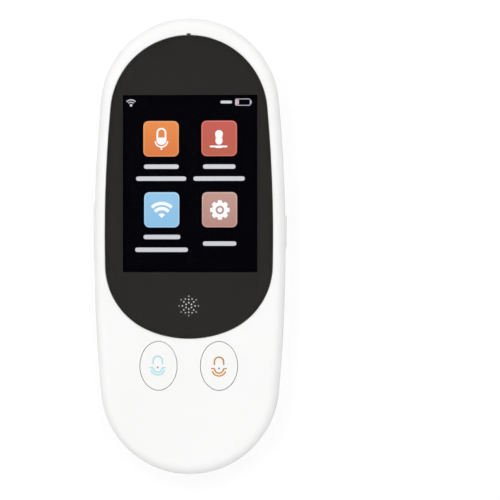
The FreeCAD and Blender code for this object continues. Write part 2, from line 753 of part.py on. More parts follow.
# Talk buttons: an oval cap, a wider flange behind the wall and a post down to the switch
def talk_button(label, side):
    button = make_body(label)
    x = button_pitch / 2 * side
    cap_top = body_depth - button_sunk
    flange_z = ceiling - flange_gap - flange_thickness
    cap = flat_sketch(button, flange_z, "Cap")
    ellipse(cap, x, button_y, button_width, button_length)
    pad(button, cap, cap_top - flange_z)
    soften(button, "Fillet", button_round, at_height(cap_top))
    flange = flat_sketch(button, flange_z, "Flange")
    ellipse(flange, x, button_y, button_width + flange_reach * 2, button_length + flange_reach * 2)
    pad(button, flange, flange_thickness)
    post = flat_sketch(button, switch_top + plunger_rise, "Post")
    circle(post, x, button_y, post_diameter)
    pad(button, post, flange_z - switch_top - plunger_rise)


def talk_switch(label, side):
    switch = make_body(label)
    x = button_pitch / 2 * side
    case = flat_sketch(switch, board_top, "Case")
    rectangle(case, x - switch_width / 2, x + switch_width / 2,
              button_y - switch_width / 2, button_y + switch_width / 2)
    pad(switch, case, switch_height)
    soften(switch, "Chamfer", switch_height / 3,
           lambda e: abs(e.BoundBox.ZMax - e.BoundBox.ZMin - switch_height.value) < 0.001)
    well = flat_sketch(switch, switch_top, "Well")
    circle(well, x, button_y, plunger_diameter + plunger_gap * 2)
    pocket(switch, well, plunger_bite + button_travel + plunger_gap)


def talk_plunger(label, side):
    plunger = make_body(label)
    pin = flat_sketch(plunger, switch_top - plunger_bite, "Pin")
    circle(pin, button_pitch / 2 * side, button_y, plunger_diameter)
    pad(plunger, pin, plunger_bite + plunger_rise)


plunger_rise = button_travel + flange_gap * 3
talk_button("left_talk_button", -1.0)
talk_button("right_talk_button", 1.0)
talk_switch("left_talk_switch", -1.0)
talk_switch("right_talk_switch", 1.0)
talk_plunger("left_plunger", -1.0)
talk_plunger("right_plunger", 1.0)

# Power key on the right side: a pill through the wall, a flange behind it and a nib
wall_at_key = half_width - power_place * power_place / (side_bow * 2)
key_face = wall_at_key + key_proud
flange_out = wall_at_key - side_wall - key_rest
flange_in = flange_out - key_flange
nib_end = flange_in - key_nib
switch_face = nib_end - side_travel - key_rest
power_key = make_body("power_key")
cap = sketch_on(power_key, "YZ_Plane", flange_in, "Cap")
pill(cap, power_place, key_middle, power_length, key_height)
pad(power_key, cap, key_face - flange_in)
soften(power_key, "Fillet", key_edge, lambda e: abs(e.BoundBox.XMin - key_face.value) < 0.001)
flange = sketch_on(power_key, "YZ_Plane", flange_in, "Flange")
pill(flange, power_place, key_middle, power_length + key_reach * 2, key_height + key_reach * 2)
pad(power_key, flange, key_flange)
nib = sketch_on(power_key, "YZ_Plane", nib_end, "Nib")
circle(nib, power_place, key_middle, side_plunger * 1.5)
pad(power_key, nib, key_nib)


def side_switch(body, sign, y):
    """A small switch that stands in a notch of the board, its well facing the key."""
    inner = switch_face - side_switch_depth
    xs = [inner * sign, switch_face * sign]
    xs.sort(key=plain)
    case = flat_sketch(body, key_middle - side_switch_height / 2, "Case")
    rectangle(case, xs[0], xs[1], y - switch_width / 2, y + switch_width / 2)
    pad(body, case, side_switch_height)
    well = sketch_on(body, "YZ_Plane", switch_face * sign, "Well")
    circle(well, y, key_middle, side_plunger + plunger_gap * 2)
    pocket(body, well, plunger_bite + side_travel + plunger_gap, reverse=sign < 0)


def side_pin(body, sign, y):
    start = switch_face - plunger_bite
    pin = sketch_on(body, "YZ_Plane", start * sign, "Pin")
    circle(pin, y, key_middle, side_plunger)
    pad(body, pin, nib_end - start, reverse=sign < 0)


power_switch = make_body("power_switch")
side_switch(power_switch, 1.0, power_place)
power_plunger = make_body("power_plunger")
side_pin(power_plunger, 1.0, power_place)

# Volume rocker on the left side: its flange falls away from a middle ridge, so that it can tip
volume_rocker = make_body("volume_rocker")
cap = sketch_on(volume_rocker, "YZ_Plane", -key_face, "Cap")
pill(cap, rocker_place, key_middle, rocker_length, key_height)
pad(volume_rocker, cap, key_face - flange_in)
soften(volume_rocker, "Fillet", key_edge, lambda e: abs(e.BoundBox.XMax + key_face.value) < 0.001)
ridge = flat_sketch(volume_rocker, key_middle - key_height / 2 - key_reach, "Ridge")
flange_half = rocker_length / 2 + key_reach
polygon(ridge, [
    (-flange_out, rocker_place), (-flange_out + rocker_fall, rocker_place - flange_half),
    (-flange_in, rocker_place - flange_half), (-flange_in, rocker_place + flange_half),
    (-flange_out + rocker_fall, rocker_place + flange_half),
])
pad(volume_rocker, ridge, key_height + key_reach * 2)
nibs = sketch_on(volume_rocker, "YZ_Plane", -nib_end, "Nibs")
for side in (-1.0, 1.0):
    circle(nibs, rocker_place + switch_spacing / 2 * side, key_middle, side_plunger * 1.5)
pad(volume_rocker, nibs, key_nib, reverse=True)


def group(label, members):
    """Several like solids that share one name."""
    compound = doc.addObject("Part::Compound", label)
    compound.Label = label
    compound.Links = members
    for member in members:
        pieces.remove(member)
    pieces.append(compound)
    return compound


switches = []
pins = []
for name, side in (("Lower", -1.0), ("Upper", 1.0)):
    y = rocker_place + switch_spacing / 2 * side
    switches.append(make_body(name + "VolumeSwitch"))
    side_switch(switches[-1], -1.0, y)
    pins.append(make_body(name + "VolumePin"))
    side_pin(pins[-1], -1.0, y)
group("volume_switches", switches)
group("volume_plungers", pins)

# The main board, clamped between the columns and the bosses
main_board = make_body("main_board")
outline = flat_sketch(main_board, parting_height, "Outline")
body_outline(outline, board_inset)
pad(main_board, outline, board_thickness)
holes = flat_sketch(main_board, parting_height, "ScrewHoles")
for x, y in screw_spots:
    circle(holes, x, y, screw_shank + shank_gap * 2)
pocket(main_board, holes, board_thickness + 0.1, reverse=True)
notches = flat_sketch(main_board, parting_height, "Notches")
notch_in = switch_face - side_switch_depth
power_half = power_length / 2 + key_reach + notch_margin
rectangle(notches, notch_in, half_width, power_place - power_half, power_place + power_half)
rocker_half = rocker_length / 2 + key_reach + notch_margin
rectangle(notches, -half_width, -notch_in, rocker_place - rocker_half, rocker_place + rocker_half)
socket_front = socket_recess - half_length
socket_back = socket_front + socket_length
rectangle(notches, -socket_width / 2, socket_width / 2, -half_length, socket_back)
pocket(main_board, notches, board_thickness + 0.1, reverse=True)

# Below the board: a pressed screening can over the processor and the memory
shield_can = make_body("shield_can")
block = flat_sketch(shield_can, parting_height - can_height, "Block")
rectangle(block, -can_width / 2, can_width / 2, -can_place - can_length / 2, can_length / 2 - can_place)
pad(shield_can, block, can_height)
soften(shield_can, "Fillet", can_sheet * 2, lambda e: abs(e.BoundBox.ZMax - e.BoundBox.ZMin - can_height.value) < 0.001)
inside = flat_sketch(shield_can, parting_height, "Inside")
rectangle(inside, can_sheet - can_width / 2, can_width / 2 - can_sheet,
          can_sheet - can_place - can_length / 2, can_length / 2 - can_place - can_sheet)
pocket(shield_can, inside, can_height - can_sheet)
processor_chip = make_body("processor_chip")
chip = flat_sketch(processor_chip, parting_height - chip_height, "Chip")
rectangle(chip, -can_width / 4 - chip_width / 2 + 1, chip_width / 2 - can_width / 4 + 1,
          -can_place - chip_width / 2, chip_width / 2 - can_place)
pad(processor_chip, chip, chip_height)
memory_chip = make_body("memory_chip")
chip = flat_sketch(memory_chip, parting_height - chip_height, "Chip")
rectangle(chip, can_width / 4 - memory_width / 2, can_width / 4 + memory_width / 2,
          -can_place - memory_width / 2, memory_width / 2 - can_place)
pad(memory_chip, chip, chip_height)

# The battery lies on a tape in its bay, and its two wires end in a plug under the board
battery_pad = make_body("battery_pad")
tape = flat_sketch(battery_pad, back_wall, "Tape")
rectangle(tape, -battery_width / 3, battery_width / 3,
          battery_place - battery_length / 3, battery_place + battery_length / 3)
pad(battery_pad, tape, pad_thickness)
battery_cell = make_body("battery_cell")
section = sketch_on(battery_cell, "XZ_Plane", -battery_place, "Section")
rectangle(section, -battery_width / 2, battery_width / 2, battery_z, battery_z + battery_height)
pad(battery_cell, section, battery_length, middle=True)
soften(battery_cell, "Fillet", battery_round,
       lambda e: abs(e.BoundBox.YMax - e.BoundBox.YMin - battery_length.value) < 0.001)

cell_end = battery_place - battery_length / 2
wire_x = battery_width / 2 - battery_round - wire_spacing * 1.25
wire_z = parting_height - header_height - plug_height / 2
plug_y = cell_end - plug_distance
battery_socket = make_body("battery_socket")
header = flat_sketch(battery_socket, parting_height - header_height, "Header")
rectangle(header, wire_x - plug_width / 2, wire_x + plug_width / 2, plug_y - plug_length, plug_y)
pad(battery_socket, header, header_height)
battery_plug = make_body("battery_plug")
plug = flat_sketch(battery_plug, parting_height - header_height - plug_height, "Plug")
rectangle(plug, wire_x - plug_width / 2, wire_x + plug_width / 2, plug_y - plug_length, plug_y)
pad(battery_plug, plug, plug_height)
wires = []
for name, side in (("Red", -1.0), ("Black", 1.0)):
    wires.append(make_body(name + "Wire"))
    run = sketch_on(wires[-1], "XZ_Plane", -plug_y, "Run")
    circle(run, wire_x + wire_spacing / 2 * side, wire_z, wire_diameter)
    pad(wires[-1], run, plug_distance, reverse=True)
group("battery_leads", wires)

# The charging socket: a folded steel shell with a plastic tongue, let into the board's edge
usb_shell = make_body("usb_shell")
section = sketch_on(usb_shell, "XZ_Plane", -socket_front, "Section")
socket_section(section, 0.0)
pad(usb_shell, section, socket_length, reverse=True)
throat = sketch_on(usb_shell, "XZ_Plane", -socket_front, "Throat")
socket_section(throat, socket_sheet)
pocket(usb_shell, throat, socket_length - socket_sheet)
usb_tongue = make_body("usb_tongue")
blade = sketch_on(usb_tongue, "XZ_Plane", -socket_back + socket_sheet, "Blade")
blade_half = socket_width / 2 - socket_taper - socket_sheet * 2
rectangle(blade, -blade_half, blade_half, board_middle, board_middle + tongue_blade)
pad(usb_tongue, blade, socket_length - socket_sheet * 4)

# The microphone on the board's top end, with a rubber boot up to the voice port
voice_y = lens_top + port_height / 2
microphone = make_body("microphone")
case = flat_sketch(microphone, board_top, "Case")
rectangle(case, -microphone_width / 2, microphone_width / 2,
          voice_y - microphone_width * 0.4, voice_y + microphone_width * 0.4)
pad(microphone, case, microphone_height)
microphone_boot = make_body("microphone_boot")
tube = flat_sketch(microphone_boot, board_top + microphone_height, "Tube")
circle(tube, Length(0.0, "0.0"), voice_y, boot_diameter)
circle(tube, Length(0.0, "0.0"), voice_y, boot_bore)
pad(microphone_boot, tube, ceiling - board_top - microphone_height)

# A flat aerial lies on the floor of the back shell between the upper columns
antenna_flex = make_body("antenna_flex")
patch = flat_sketch(antenna_flex, back_wall, "Patch")
rectangle(patch, -antenna_width / 2, antenna_width / 2,
          screw_y - antenna_length / 2, screw_y + antenna_length / 2)
pad(antenna_flex, patch, antenna_thickness)

# Four screws hold the shells together through the board
screws = []
for number, (x, y) in enumerate(screw_spots):
    screw = make_body("Screw" + str(number + 1))
    head = flat_sketch(screw, screw_sunk, "Head")
    circle(head, x, y, screw_head)
    pad(screw, head, head_height)
    soften(screw, "Chamfer", head_height / 3, at_height(screw_sunk))
    shank = flat_sketch(screw, screw_sunk + head_height, "Shank")
    circle(shank, x, y, screw_shank)
    pad(screw, shank, board_top + screw_reach - screw_sunk - head_height)
    cross = flat_sketch(screw, screw_sunk, "Cross")
    arm, slot = screw_head / 3.2, screw_head / 14
    polygon(cross, [
        (x - arm, y - slot), (x - slot, y - slot), (x - slot, y - arm), (x + slot, y - arm),
        (x + slot, y - slot), (x + arm, y - slot), (x + arm, y + slot), (x + slot, y + slot),
        (x + slot, y + arm), (x - slot, y + arm), (x - slot, y + slot), (x - arm, y + slot),
    ])
    pocket(screw, cross, head_height / 2, reverse=True)
    screws.append(screw)
group("shell_screws", screws)

doc.recompute()
for item in doc.Objects:
    if "Invalid" in item.State or "Error" in item.State:
        raise ValueError(item.Label + " did not recompute")
for piece in pieces:
    if piece.Shape.isNull() or not piece.Shape.isValid():
        raise ValueError(piece.Label + " has no valid shape")
os.makedirs("parts", exist_ok=True)
for piece in pieces:
    piece.Shape.exportStep("parts/" + piece.Label + ".step")
    print(piece.Label, len(piece.Shape.Solids), round(piece.Shape.Volume, 2))
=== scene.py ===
# %% [markdown]
# # A handheld translator, dressed over its CAD frame
#
# The CAD model gives every moulding, board and screw its shape and place.
# This lesson gives them their finishes, adds the prints on the two talk
# buttons and the lit picture on the screen, and sets up light and camera.
# Everything is in metres in the CAD model's own frame, so nothing has to be
# fitted: the back lies on Z = 0 and the screen looks up along +Z.

# %% Load the frame
import bpy
import bmesh
from math import ceil, cos, pi, radians, sin
from mathutils import Matrix, Vector


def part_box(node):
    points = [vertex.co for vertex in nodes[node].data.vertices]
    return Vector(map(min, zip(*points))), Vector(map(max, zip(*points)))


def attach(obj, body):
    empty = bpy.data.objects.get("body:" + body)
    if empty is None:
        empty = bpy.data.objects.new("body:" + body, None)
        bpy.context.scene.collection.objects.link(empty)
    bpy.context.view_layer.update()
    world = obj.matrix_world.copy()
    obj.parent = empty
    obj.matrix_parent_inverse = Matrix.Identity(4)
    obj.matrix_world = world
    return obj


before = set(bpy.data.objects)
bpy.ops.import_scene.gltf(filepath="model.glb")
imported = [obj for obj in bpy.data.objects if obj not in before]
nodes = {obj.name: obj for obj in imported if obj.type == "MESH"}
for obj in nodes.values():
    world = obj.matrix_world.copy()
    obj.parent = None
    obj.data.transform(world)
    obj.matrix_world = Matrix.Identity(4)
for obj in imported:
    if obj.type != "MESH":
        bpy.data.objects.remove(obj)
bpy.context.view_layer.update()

# %% [markdown]
# ## Helpers for materials
#
# A colour picked from a picture is sRGB, while Blender's sockets take linear
# light, so one function turns a hex code into what a socket wants. A second
# one adds a node, sets it and links it in one line. Both could be done by
# hand in the shader editor, but a material reads like a recipe this way. Two
# short ones turn a real size in millimetres into a texture's scale.

# %% Helpers for materials
def linear(code):
    """An sRGB hex colour as linear light, with full alpha."""
    channels = [int(code[place:place + 2], 16) / 255 for place in (1, 3, 5)]
    return tuple(c / 12.92 if c <= 0.04045 else ((c + 0.055) / 1.055) ** 2.4 for c in channels) + (1.0,)


def add(material, kind, settings=None, inputs=None):
    """Adds a node. Each input is a plain value, or another node's output that is linked to it."""
    node = material.node_tree.nodes.new("ShaderNode" + kind)
    for name, value in (settings or {}).items():
        setattr(node, name, value)
    for name, value in (inputs or {}).items():
        if isinstance(value, bpy.types.NodeSocket):
            material.node_tree.links.new(value, node.inputs[name])
        else:
            node.inputs[name].default_value = value
    return node


def empty_material(name):
    """A material without nodes, and the coordinates that its patterns will use."""
    material = bpy.data.materials.new(name)
    material.use_nodes = True
    material.node_tree.nodes.clear()
    return material, add(material, "TexCoord").outputs["Object"]


def per_mm(size):
    """The scale at which one cell of a texture is this many millimetres wide."""
    return 1000.0 / size


def waves_mm(spacing):
    """The scale at which the crests of a wave texture lie this many millimetres apart.
    A wave texture takes the sine of twenty times its coordinate, which is why it needs one of its own."""
    return per_mm(spacing) * 2 * pi / 20


print("white as a socket wants it:", linear("#F6F6F4")[:3])

# %% [markdown]
# ## The white shells: ABS with a spark-eroded grain
#
# The two halves of the body are injection-moulded ABS. Their mould is spark
# eroded, which leaves a very fine matt grain instead of a mirror. A plain
# white with a roughness would do from far away, but close up the grain is
# what says plastic, so noise of a third of a millimetre drives a bump of
# some hundredths, and a slow cloud of noise varies the white and the gloss a
# little, as the flow of the melt does.

# %% White ABS
shell_plastic, place = empty_material("abs_white_spark_eroded")
cloud = add(shell_plastic, "TexNoise", inputs={"Vector": place, "Scale": per_mm(24), "Detail": 1.0})
grain = add(shell_plastic, "TexNoise", inputs={"Vector": place, "Scale": per_mm(0.35), "Detail": 3.0})
tint = add(shell_plastic, "Mix", {"data_type": "RGBA"},
           {0: cloud.outputs[0], 6: linear("#F4F4F3"), 7: linear("#F8F8F7")})
gloss = add(shell_plastic, "MapRange", inputs={"Value": cloud.outputs[0], "To Min": 0.40, "To Max": 0.50})
relief = add(shell_plastic, "Bump", inputs={"Height": grain.outputs[0], "Strength": 0.35, "Distance": 0.00002})
skin = add(shell_plastic, "BsdfPrincipled", inputs={
    "Base Color": tint.outputs[2], "Roughness": gloss.outputs["Result"],
    "IOR": 1.53, "Normal": relief.outputs["Normal"],
    "Subsurface Weight": 0.5, "Subsurface Radius": (1.0, 0.95, 0.9), "Subsurface Scale": 0.0006})
add(shell_plastic, "OutputMaterial", inputs={"Surface": skin.outputs["BSDF"]})
print("made", shell_plastic.name)

# %% [markdown]
# ## The buttons and keys: the same ABS from a polished mould
#
# Fingers rub the keys, so they are moulded glossy and stay clean. They have
# the colour of the shells, and only a smoother skin and a finer, shallower
# relief set them apart, as the thin shine on their rounded edges shows.

# %% Polished white ABS
key_plastic, place = empty_material("abs_white_polished")
cloud = add(key_plastic, "TexNoise", inputs={"Vector": place, "Scale": per_mm(6), "Detail": 1.0})
ripple = add(key_plastic, "TexNoise", inputs={"Vector": place, "Scale": per_mm(1.2), "Detail": 2.0})
tint = add(key_plastic, "Mix", {"data_type": "RGBA"},
           {0: cloud.outputs[0], 6: linear("#F6F6F5"), 7: linear("#F9F9F8")})
gloss = add(key_plastic, "MapRange", inputs={"Value": ripple.outputs[0], "To Min": 0.28, "To Max": 0.32})
relief = add(key_plastic, "Bump", inputs={"Height": ripple.outputs[0], "Strength": 0.1, "Distance": 0.00001})
skin = add(key_plastic, "BsdfPrincipled", inputs={
    "Base Color": tint.outputs[2], "Roughness": gloss.outputs["Result"],
    "IOR": 1.53, "Normal": relief.outputs["Normal"],
    "Subsurface Weight": 0.25, "Subsurface Radius": (1.0, 0.95, 0.9), "Subsurface Scale": 0.0004})
add(key_plastic, "OutputMaterial", inputs={"Surface": skin.outputs["BSDF"]})
print("made", key_plastic.name)

# %% [markdown]
# ## The cover lens: clear acrylic
#
# The egg-shaped window is a millimetre of hard-coated acrylic, PMMA. It is
# clear all over: what looks like its dark border is a printed film behind
# it. So it gets full transmission and the real index of 1.49, and its only
# pattern is a faint unevenness in its gloss, where it has been wiped. Light
# on its way to the film below passes a Transparent shader instead, because
# the renderer finds no lamp through a bent ray.

# %% Clear acrylic
lens_acrylic, place = empty_material("pmma_clear_hard_coated")
wiped = add(lens_acrylic, "TexNoise", inputs={"Vector": place, "Scale": per_mm(14), "Detail": 2.0})
gloss = add(lens_acrylic, "MapRange", inputs={"Value": wiped.outputs[0], "To Min": 0.0, "To Max": 0.02})
skin = add(lens_acrylic, "BsdfPrincipled", inputs={
    "Base Color": linear("#FFFFFF"), "Roughness": gloss.outputs["Result"], "IOR": 1.49,
    "Transmission Weight": 1.0})
clear = add(lens_acrylic, "BsdfTransparent")
rays = add(lens_acrylic, "LightPath")
passing = add(lens_acrylic, "Math", {"operation": "MAXIMUM"},
              {0: rays.outputs["Is Shadow Ray"], 1: rays.outputs["Is Diffuse Ray"]})
through = add(lens_acrylic, "MixShader", inputs={0: passing.outputs[0], 1: skin.outputs["BSDF"], 2: clear.outputs[0]})
add(lens_acrylic, "OutputMaterial", inputs={"Surface": through.outputs[0]})
print("made", lens_acrylic.name)

# %% [markdown]
# ## The mask film: dark ink screen-printed on polyester
#
# Behind the lens lies a film printed a warm near-black, with a clear window
# for the picture. Screen printing goes through a woven mesh, so the ink is
# very slightly mottled. The mottling of a real mesh is too fine to show and
# is drawn at half a millimetre.

# %% Printed film
mask_ink, place = empty_material("pet_film_black_ink")
mottle = add(mask_ink, "TexNoise", inputs={"Vector": place, "Scale": per_mm(0.5), "Detail": 2.0})
tint = add(mask_ink, "Mix", {"data_type": "RGBA"},
           {0: mottle.outputs[0], 6: linear("#262321"), 7: linear("#2B2826")})
gloss = add(mask_ink, "MapRange", inputs={"Value": mottle.outputs[0], "To Min": 0.50, "To Max": 0.60})
skin = add(mask_ink, "BsdfPrincipled", inputs={"Base Color": tint.outputs[2], "Roughness": gloss.outputs["Result"]})
add(mask_ink, "OutputMaterial", inputs={"Surface": skin.outputs["BSDF"]})
print("made", mask_ink.name)

# %% [markdown]
# ## Tape, mesh and foam behind the lens
#
# A die-cut black tape with a fibrous carrier holds the lens. A pale woven
# cloth keeps dust out of the sound holes: two crossed wave textures give its
# threads, drawn a quarter of a millimetre apart, twice the real spacing, so
# that they show. Its colour is painted greyer from the middle out to its
# edge, a painted shade that makes the outer sound holes look dimmer than the
# middle ones. The gaskets are grey polyurethane foam, whose open cells are a
# Voronoi pattern pushed in with a bump, with painted shade that darkens the
# bottom of each cell.

# %% Black tape
tape_black, place = empty_material("adhesive_tape_black")
fibre = add(tape_black, "TexNoise", inputs={"Vector": place, "Scale": per_mm(0.8), "Detail": 5.0, "Distortion": 1.5})
tint = add(tape_black, "Mix", {"data_type": "RGBA"},
           {0: fibre.outputs[0], 6: linear("#121212"), 7: linear("#24231F")})
relief = add(tape_black, "Bump", inputs={"Height": fibre.outputs[0], "Strength": 0.3, "Distance": 0.00003})
skin = add(tape_black, "BsdfPrincipled", inputs={
    "Base Color": tint.outputs[2], "Roughness": 0.62, "Normal": relief.outputs["Normal"]})
add(tape_black, "OutputMaterial", inputs={"Surface": skin.outputs["BSDF"]})
print("made", tape_black.name)

# %% Acoustic cloth
THREAD = 0.25  # millimetres from thread to thread
PAINTED_SHADE_FROM, PAINTED_SHADE_TO = 0.0016, 0.0028  # metres from the middle, where the painted shade starts and where it is darkest
mesh_cloth, place = empty_material("polyester_mesh_pale")
warp = add(mesh_cloth, "TexWave", {"bands_direction": "X"}, {"Vector": place, "Scale": waves_mm(THREAD)})
weft = add(mesh_cloth, "TexWave", {"bands_direction": "Y"}, {"Vector": place, "Scale": waves_mm(THREAD)})
woven = add(mesh_cloth, "Math", {"operation": "MAXIMUM"}, {0: warp.outputs["Fac"], 1: weft.outputs["Fac"]})
tint = add(mesh_cloth, "Mix", {"data_type": "RGBA"},
           {0: woven.outputs[0], 6: linear("#F1F1EE"), 7: linear("#FFFFFF")})
mesh_low, mesh_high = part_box("acoustic_mesh")
out = add(mesh_cloth, "VectorMath", {"operation": "DISTANCE"}, {0: place, 1: (mesh_low + mesh_high) / 2})
# painted shade: the cloth turns greyer from the middle out to its edge, so the outer sound holes look dimmer
painted_shade = add(mesh_cloth, "MapRange", inputs={
    "Value": out.outputs["Value"], "From Min": PAINTED_SHADE_FROM, "From Max": PAINTED_SHADE_TO})
tint = add(mesh_cloth, "Mix", {"data_type": "RGBA"},
           {0: painted_shade.outputs["Result"], 6: tint.outputs[2], 7: linear("#B0B0AE")})
relief = add(mesh_cloth, "Bump", inputs={"Height": woven.outputs[0], "Strength": 0.5, "Distance": 0.00005})
skin = add(mesh_cloth, "BsdfPrincipled", inputs={
    "Base Color": tint.outputs[2], "Roughness": 0.75, "Normal": relief.outputs["Normal"]})
add(mesh_cloth, "OutputMaterial", inputs={"Surface": skin.outputs["BSDF"]})
print("made", mesh_cloth.name)

# %% Grey foam
foam_grey, place = empty_material("pu_foam_grey")
cells = add(foam_grey, "TexVoronoi", inputs={"Vector": place, "Scale": per_mm(0.4)})
# painted shade: the colour darkens towards the bottom of each cell, where the bump pushes it in
tint = add(foam_grey, "Mix", {"data_type": "RGBA"},
           {0: cells.outputs["Distance"], 6: linear("#4C4D50"), 7: linear("#6C6E72")})
relief = add(foam_grey, "Bump", inputs={"Height": cells.outputs["Distance"], "Strength": 0.8, "Distance": 0.00015})
skin = add(foam_grey, "BsdfPrincipled", inputs={
    "Base Color": tint.outputs[2], "Roughness": 0.9, "Normal": relief.outputs["Normal"]})
add(foam_grey, "OutputMaterial", inputs={"Surface": skin.outputs["BSDF"]})
print("made", foam_grey.name)

# %% [markdown]
# ## The screen: a dark liquid-crystal panel
#
# Where a liquid-crystal screen shows black it lets a trace of its backlight
# through, so it glows a bluish near-black under a glossy polariser. The real
# dots are 0.154 mm apart, 240 across this screen, and a brick texture with
# square bricks draws the dark lines between them at that pitch.

# %% Liquid-crystal panel
DOT_PITCH = 0.154  # millimetres from dot to dot
screen_glass, place = empty_material("lcd_glass_polariser")
dots = add(screen_glass, "TexBrick", {"offset": 0.0, "squash": 1.0}, {
    "Vector": place, "Scale": per_mm(DOT_PITCH), "Brick Width": 1.0, "Row Height": 1.0, "Mortar Size": 0.08,
    "Color1": linear("#020207"), "Color2": linear("#030309"), "Mortar": linear("#010103")})
skin = add(screen_glass, "BsdfPrincipled", inputs={
    "Base Color": dots.outputs["Color"], "Roughness": 0.12, "IOR": 1.50})
add(screen_glass, "OutputMaterial", inputs={"Surface": skin.outputs["BSDF"]})
print("made", screen_glass.name)

# %% [markdown]
# ## Inside: plastics, metals, foils and the board
#
# What lies inside is seen when the part is taken to pieces, so each finish
# is right for its material. Black and natural plastics have a fine moulded
# grain. The shield and the socket are tin-plated steel, whose rolling marks
# are noise stretched along X by a Mapping node. The battery's wrap is
# aluminium laminate with soft creases. The amber strips are polyimide over
# copper tracks, and the board is glass fibre under green lacquer, with a
# pattern of tracks that shows through it.

# %% Black and natural plastic
parts_black, place = empty_material("pbt_black_moulded")
grain = add(parts_black, "TexNoise", inputs={"Vector": place, "Scale": per_mm(0.3), "Detail": 3.0})
tint = add(parts_black, "Mix", {"data_type": "RGBA"},
           {0: grain.outputs[0], 6: linear("#151516"), 7: linear("#222223")})
relief = add(parts_black, "Bump", inputs={"Height": grain.outputs[0], "Strength": 0.4, "Distance": 0.00002})
skin = add(parts_black, "BsdfPrincipled", inputs={
    "Base Color": tint.outputs[2], "Roughness": 0.45, "Normal": relief.outputs["Normal"]})
add(parts_black, "OutputMaterial", inputs={"Surface": skin.outputs["BSDF"]})

parts_white, place = empty_material("pom_natural_moulded")
grain = add(parts_white, "TexNoise", inputs={"Vector": place, "Scale": per_mm(0.4), "Detail": 2.0})
tint = add(parts_white, "Mix", {"data_type": "RGBA"},
           {0: grain.outputs[0], 6: linear("#E6E4DC"), 7: linear("#F1EFE8")})
relief = add(parts_white, "Bump", inputs={"Height": grain.outputs[0], "Strength": 0.3, "Distance": 0.00002})
skin = add(parts_white, "BsdfPrincipled", inputs={
    "Base Color": tint.outputs[2], "Roughness": 0.38, "IOR": 1.48, "Normal": relief.outputs["Normal"]})
add(parts_white, "OutputMaterial", inputs={"Surface": skin.outputs["BSDF"]})
print("made", parts_black.name, "and", parts_white.name)

# %% Reflector frame behind the panel
frame_white, place = empty_material("pc_white_reflector")
haze = add(frame_white, "TexNoise", inputs={"Vector": place, "Scale": per_mm(5), "Detail": 2.0})
tint = add(frame_white, "Mix", {"data_type": "RGBA"},
           {0: haze.outputs[0], 6: linear("#ECEDEF"), 7: linear("#F7F8FA")})
gloss = add(frame_white, "MapRange", inputs={"Value": haze.outputs[0], "To Min": 0.28, "To Max": 0.40})
skin = add(frame_white, "BsdfPrincipled", inputs={
    "Base Color": tint.outputs[2], "Roughness": gloss.outputs["Result"], "IOR": 1.58})
add(frame_white, "OutputMaterial", inputs={"Surface": skin.outputs["BSDF"]})
print("made", frame_white.name)

# %% Plated steel
plated_steel, place = empty_material("steel_tin_plated")
along = add(plated_steel, "Mapping", inputs={"Vector": place, "Scale": (0.05, 1.0, 1.0)})
rolled = add(plated_steel, "TexNoise", inputs={"Vector": along.outputs["Vector"], "Scale": per_mm(0.15), "Detail": 4.0})
tint = add(plated_steel, "Mix", {"data_type": "RGBA"},
           {0: rolled.outputs[0], 6: linear("#B9B8B4"), 7: linear("#D3D2CE")})
gloss = add(plated_steel, "MapRange", inputs={"Value": rolled.outputs[0], "To Min": 0.22, "To Max": 0.36})
relief = add(plated_steel, "Bump", inputs={"Height": rolled.outputs[0], "Strength": 0.2, "Distance": 0.00001})
skin = add(plated_steel, "BsdfPrincipled", inputs={
    "Base Color": tint.outputs[2], "Metallic": 1.0, "Roughness": gloss.outputs["Result"],
    "Normal": relief.outputs["Normal"]})
add(plated_steel, "OutputMaterial", inputs={"Surface": skin.outputs["BSDF"]})
print("made", plated_steel.name)

# %% Aluminium laminate
foil_wrap, place = empty_material("aluminium_laminate_pouch")
crease = add(foil_wrap, "TexNoise", inputs={"Vector": place, "Scale": per_mm(7), "Detail": 3.0, "Distortion": 0.8})
tint = add(foil_wrap, "Mix", {"data_type": "RGBA"},
           {0: crease.outputs[0], 6: linear("#B4B7BA"), 7: linear("#D2D4D6")})
relief = add(foil_wrap, "Bump", inputs={"Height": crease.outputs[0], "Strength": 0.5, "Distance": 0.0002})
skin = add(foil_wrap, "BsdfPrincipled", inputs={
    "Base Color": tint.outputs[2], "Metallic": 0.9, "Roughness": 0.34, "Normal": relief.outputs["Normal"]})
add(foil_wrap, "OutputMaterial", inputs={"Surface": skin.outputs["BSDF"]})
print("made", foil_wrap.name)

# %% Polyimide strip
amber_film, place = empty_material("polyimide_copper_tracks")
tracks = add(amber_film, "TexWave", {"bands_direction": "X"}, {"Vector": place, "Scale": waves_mm(0.5)})
edges = add(amber_film, "MapRange", inputs={"Value": tracks.outputs["Fac"], "From Min": 0.45, "From Max": 0.55})
tint = add(amber_film, "Mix", {"data_type": "RGBA"},
           {0: edges.outputs["Result"], 6: linear("#8A4E12"), 7: linear("#C07A28")})
relief = add(amber_film, "Bump", inputs={"Height": edges.outputs["Result"], "Strength": 0.4, "Distance": 0.00002})
skin = add(amber_film, "BsdfPrincipled", inputs={
    "Base Color": tint.outputs[2], "Roughness": 0.25, "IOR": 1.7, "Normal": relief.outputs["Normal"]})
add(amber_film, "OutputMaterial", inputs={"Surface": skin.outputs["BSDF"]})
print("made", amber_film.name)

